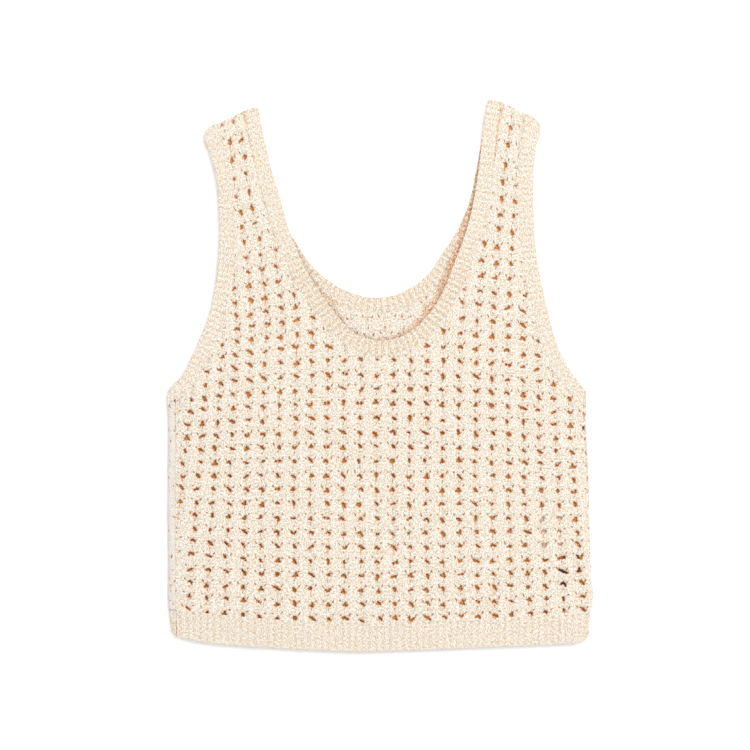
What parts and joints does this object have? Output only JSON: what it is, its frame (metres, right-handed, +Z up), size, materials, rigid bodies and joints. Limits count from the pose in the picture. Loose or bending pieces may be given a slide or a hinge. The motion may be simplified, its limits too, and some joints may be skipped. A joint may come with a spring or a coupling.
{
  "type": "tank top",
  "caption": "Sleeveless openwork knit tank top laid flat: scoop neck, wide straps, ribbed neck, armhole and hem bands, a higher back neck, and blank labels inside.",
  "frame": {"origin": "middle of the underside of the garment as it lies flat, at the height of the surface under it", "axes": "+Z up out of the surface, +Y from the hem to the shoulders, +X to the viewer's right across the front"},
  "size_m": [0.406, 0.528, 0.008],
  "materials": {
    "openwork_knit": "matt brushed chunky cotton yarn in an even openwork stitch",
    "rib_knit": "matt one by one rib of the same yarn",
    "label_white": "satin woven tape, blank",
    "label_black": "satin woven tape, blank"
  },
  "bodies": {
    "root": {"front_panel": "openwork_knit", "back_panel": "openwork_knit", "neck_band_front": "rib_knit", "neck_band_back": "rib_knit", "armhole_band_front_left": "rib_knit", "armhole_band_front_right": "rib_knit", "armhole_band_back_left": "rib_knit", "armhole_band_back_right": "rib_knit", "hem_band_front": "rib_knit", "hem_band_back": "rib_knit", "care_label_white": "label_white", "care_label_black": "label_black"}
  },
  "joints": []
}
